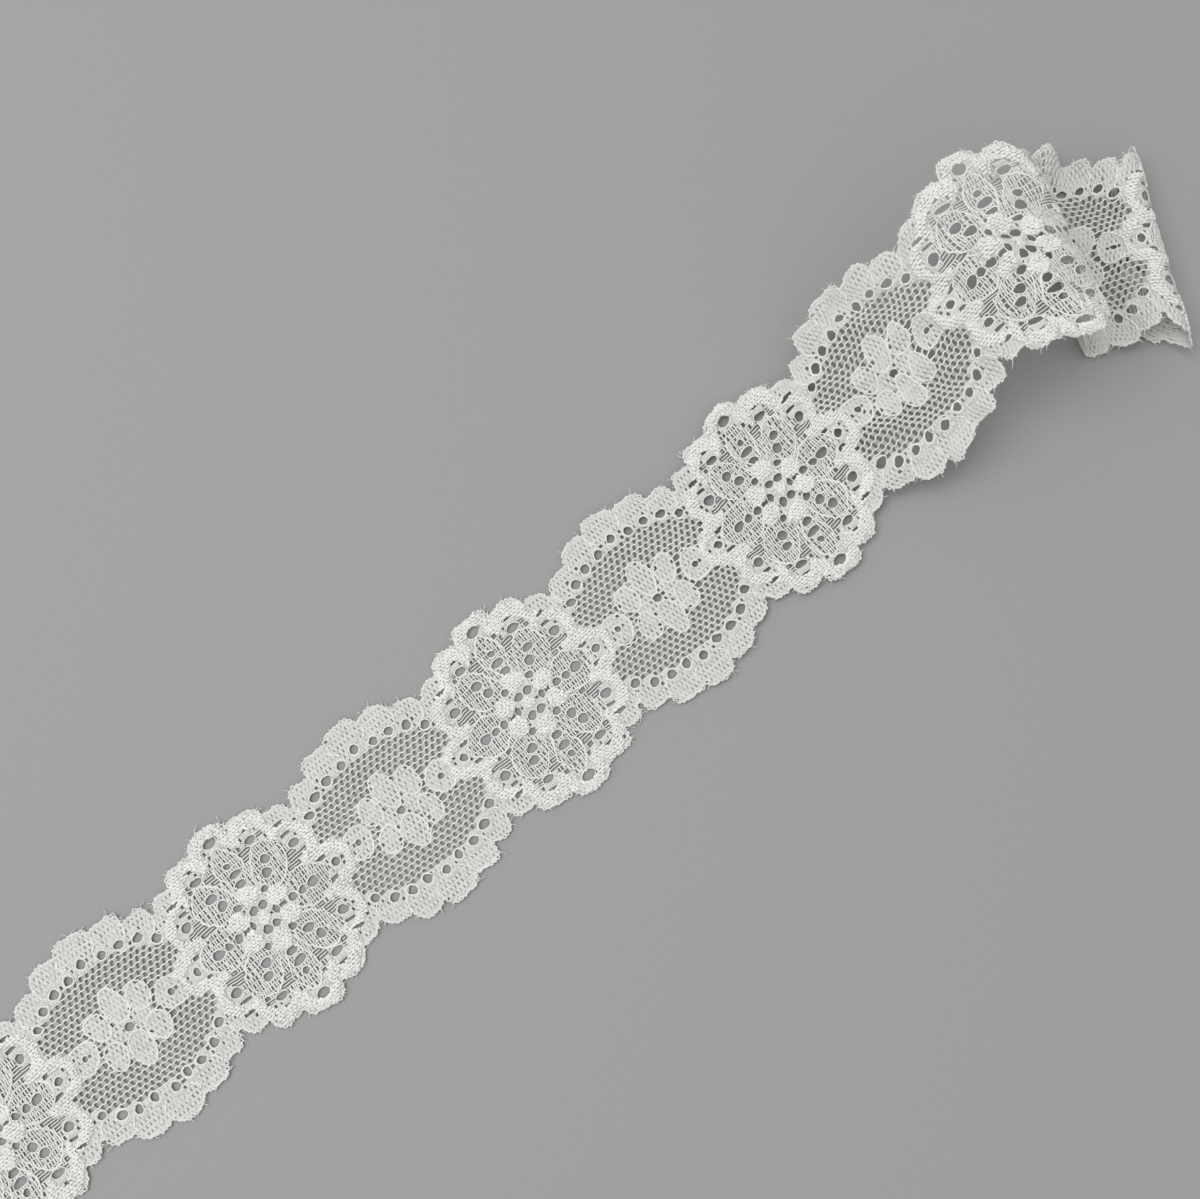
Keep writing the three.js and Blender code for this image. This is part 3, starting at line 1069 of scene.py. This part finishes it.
def eyeLoops(eyes, plan):
    # loops a little larger than the eyelets, unturned
    return np.concatenate([eyes[:, :2], eyes[:, 2:] + plan["grow"], np.zeros((len(eyes), 1))], 1)


def mirroredLoops(ellipses, offset, plan):
    found = []
    for x, y, a, b, turn in ellipses:
        for signX, signY, start in copies(x, y, offset):
            angle = signX * signY * math.radians(turn)
            found.append((start + signX * x, signY * y, a + plan["grow"], b + plan["grow"], angle))
    return np.array(found)


def rimsPiece(name):
    rimmed = eyelets[eyelets[:, 3] > eyeletPlan["slit"]]
    fromPanel = np.abs(localPlace(rimmed[:, 0], repeat / 2))
    fromFlower, across = np.abs(localPlace(rimmed[:, 0], 0.0)), np.abs(rimmed[:, 1])
    atRoot = np.abs(fromFlower - borderPlan["root"]) < borderPlan["rootReach"]
    atRoot = atRoot & (across < borderPlan["rootAcross"])
    border = (fromPanel < borderPlan["reach"]) & (across > borderPlan["across"]) | atRoot
    florets = mirroredLoops(panelChart["florets"][:3], 0.5, floretRim)
    return addPiece(name, [
        loopThreads(eyeLoops(rimmed[border], borderRim), borderRim),
        loopThreads(eyeLoops(rimmed[~border], innerRim), innerRim),
        chartThreads(flowerChart["petals"], 0.0, petalRim),
        chartThreads(panelChart["seams"], 0.5, seamLine),
        loopThreads(florets, floretRim),
    ], linerYarn)


rims = rimsPiece("rims")


# edge: the cord along both scalloped edges, with hairs and cut thread ends
edgeCord = {
    "seed": 51,
    "step": 0.24,
    "fineStep": 0.02,
    "inset": 0.25,
    "wide": 0.16,
    "high": 0.15,
    "thickStray": 0.12,
    "lift": -0.08,
    "bump": 0.5,
    "bumpLength": 1.0,
    "bumpMiddle": 0.4,
    "bumpDrift": (0.5, 0.9),
}
# loose ends: how many to an edge or how far apart, and how far they lean from straight outwards
hairPlan = {"count": 650, "points": 5, "thick": 0.02, "length": 0.6, "stray": 0.8}
stubPlan = {"spacing": 0.42, "points": 3, "thick": 0.06, "length": 0.75, "stray": 0.35, "steep": 1.5}
looseEnd = {
    "spread": (2.0, 0.4),  # of the lengths, as a gamma draw, and the longest
    "longest": 1.8,
    "curl": 0.5,
    "rise": 0.4,
    "taper": 0.4,
}


def outline(side):
    # the scalloped edge as a line of equal steps, moved outwards by
    # bump (|sin(pi at / bumpLength)| - middle + drift)
    plan = edgeCord
    fine = np.arange(0, cutLength, plan["fineStep"])
    width = wornEdge(fine) - plan["inset"]
    length = np.concatenate([[0], np.cumsum(np.hypot(np.diff(fine), np.diff(width)))])
    at = np.arange(0, length[-1], plan["step"])
    u, v = np.interp(at, length, fine), np.interp(at, length, width)
    du, dv = np.gradient(u), np.gradient(v)
    size = np.hypot(du, dv)
    drift, waves = plan["bumpDrift"]
    bump = np.abs(np.sin(math.pi * at / plan["bumpLength"])) - plan["bumpMiddle"]
    bump = plan["bump"] * (bump + drift * np.sin(waves * at + side))
    return u - dv / size * bump, side * (v + du / size * bump), -dv / size, side * du / size


def fringe(pick, plan, edgeLine, draw):
    # thread ends that lean out from the edge: a line outwards plus a sideways curl that grows
    # with the square of its length
    u, v, outU, outV = (a[pick] for a in edgeLine)
    lean = draw.normal(0, plan["stray"], len(pick))
    c, s = np.cos(lean), np.sin(lean)
    outwards = np.stack([outU * c - outV * s, outU * s + outV * c], 1)
    sideways = np.stack([-outwards[:, 1], outwards[:, 0]], 1)
    t = np.linspace(0, 1, plan["points"])
    length = np.minimum(draw.gamma(*looseEnd["spread"], len(pick)), looseEnd["longest"])
    length = plan["length"] * length[:, None]
    curl = draw.normal(0, looseEnd["curl"], len(pick))[:, None]
    line = (
        np.stack([u, v], 1)[:, None]
        + outwards[:, None] * (length * t)[..., None]
        + sideways[:, None] * (curl * length * t ** 2)[..., None]
    )
    rise = edgeCord["lift"] + draw.uniform(0, looseEnd["rise"], len(pick))[:, None] * t
    thick = plan["thick"] * (1 - looseEnd["taper"] * t)
    return layThreads(line[..., 0], line[..., 1], rise, thick, thick, sides=3)


def edgePiece(name, plan):
    draw = np.random.default_rng(plan["seed"])
    bundles = []
    for side in (1, -1):
        edgeLine = outline(side)
        u, v = edgeLine[0][None], edgeLine[1][None]
        count = u.shape[1]
        thick = draw.normal(1.0, plan["thickStray"], count)[None]
        bundles.append(layThreads(u, v, plan["lift"], plan["wide"] * thick, plan["high"] * thick))
        hairs = draw.integers(2, count - 2, hairPlan["count"])
        # cut thread ends stand on the lobes' steep sides
        tries = int(count * plan["step"] / stubPlan["spacing"])
        stubs = draw.integers(2, count - 2, tries)
        steep = np.abs(edgeLine[2][stubs]) ** stubPlan["steep"]
        stubs = stubs[draw.uniform(0, 1, tries) < steep]
        bundles += [fringe(hairs, hairPlan, edgeLine, draw), fringe(stubs, stubPlan, edgeLine, draw)]
    return addPiece(name, bundles, groundYarn)


edge = edgePiece("edge", edgeCord)


# floor and light
roomPlan = {
    "floor": (0.352, 0.352, 0.352),
    "floorSize": 5.0,
    "world": 0.565,
    "lampPlace": (-0.3, 0.4, 1.1),
    "lampSize": 0.9,
    "lampPower": 8.2,
    "roughness": 0.7,
    "specular": 0.2,
    "grain": {"Scale": 2500.0, "Detail": 2.0},
    "grainTones": (0.88, 1.12),
}


def buildRoom(plan):
    size = plan["floorSize"]
    mesh = bpy.data.meshes.new("floor")
    corners = [(-size, -size, 0), (size, -size, 0), (size, size, 0), (-size, size, 0)]
    mesh.from_pydata(corners, [], [(0, 1, 2, 3)])
    floor = addObject("floor", mesh)
    material = bpy.data.materials.new("floor")
    material.use_nodes = True
    tree = material.node_tree
    surface = tree.nodes["Principled BSDF"]
    surface.inputs["Roughness"].default_value = plan["roughness"]
    surface.inputs["Specular IOR Level"].default_value = plan["specular"]
    ramp = addNode(tree, "ValToRGB")
    for stop, tone in zip(ramp.color_ramp.elements, plan["grainTones"]):
        stop.color = (*(c * tone for c in plan["floor"]), 1)
    tree.links.new(noiseValue(tree, plan["grain"]), ramp.inputs[0])
    tree.links.new(ramp.outputs[0], surface.inputs["Base Color"])
    mesh.materials.append(material)
    world = bpy.data.worlds.new("studio")
    world.use_nodes = True
    sky = world.node_tree.nodes["Background"]
    sky.inputs["Color"].default_value = (1, 1, 1, 1)
    sky.inputs["Strength"].default_value = plan["world"]
    bpy.context.scene.world = world
    data = bpy.data.lights.new("softbox", "AREA")
    data.size = plan["lampSize"]
    data.energy = plan["lampPower"]
    lamp = addObject("softbox", data)
    lamp.location = plan["lampPlace"]
    lamp.rotation_euler = (-lamp.location).to_track_quat("-Z", "Y").to_euler()


buildRoom(roomPlan)
bpy.context.scene.view_settings.view_transform = "Standard"
print("room ready")
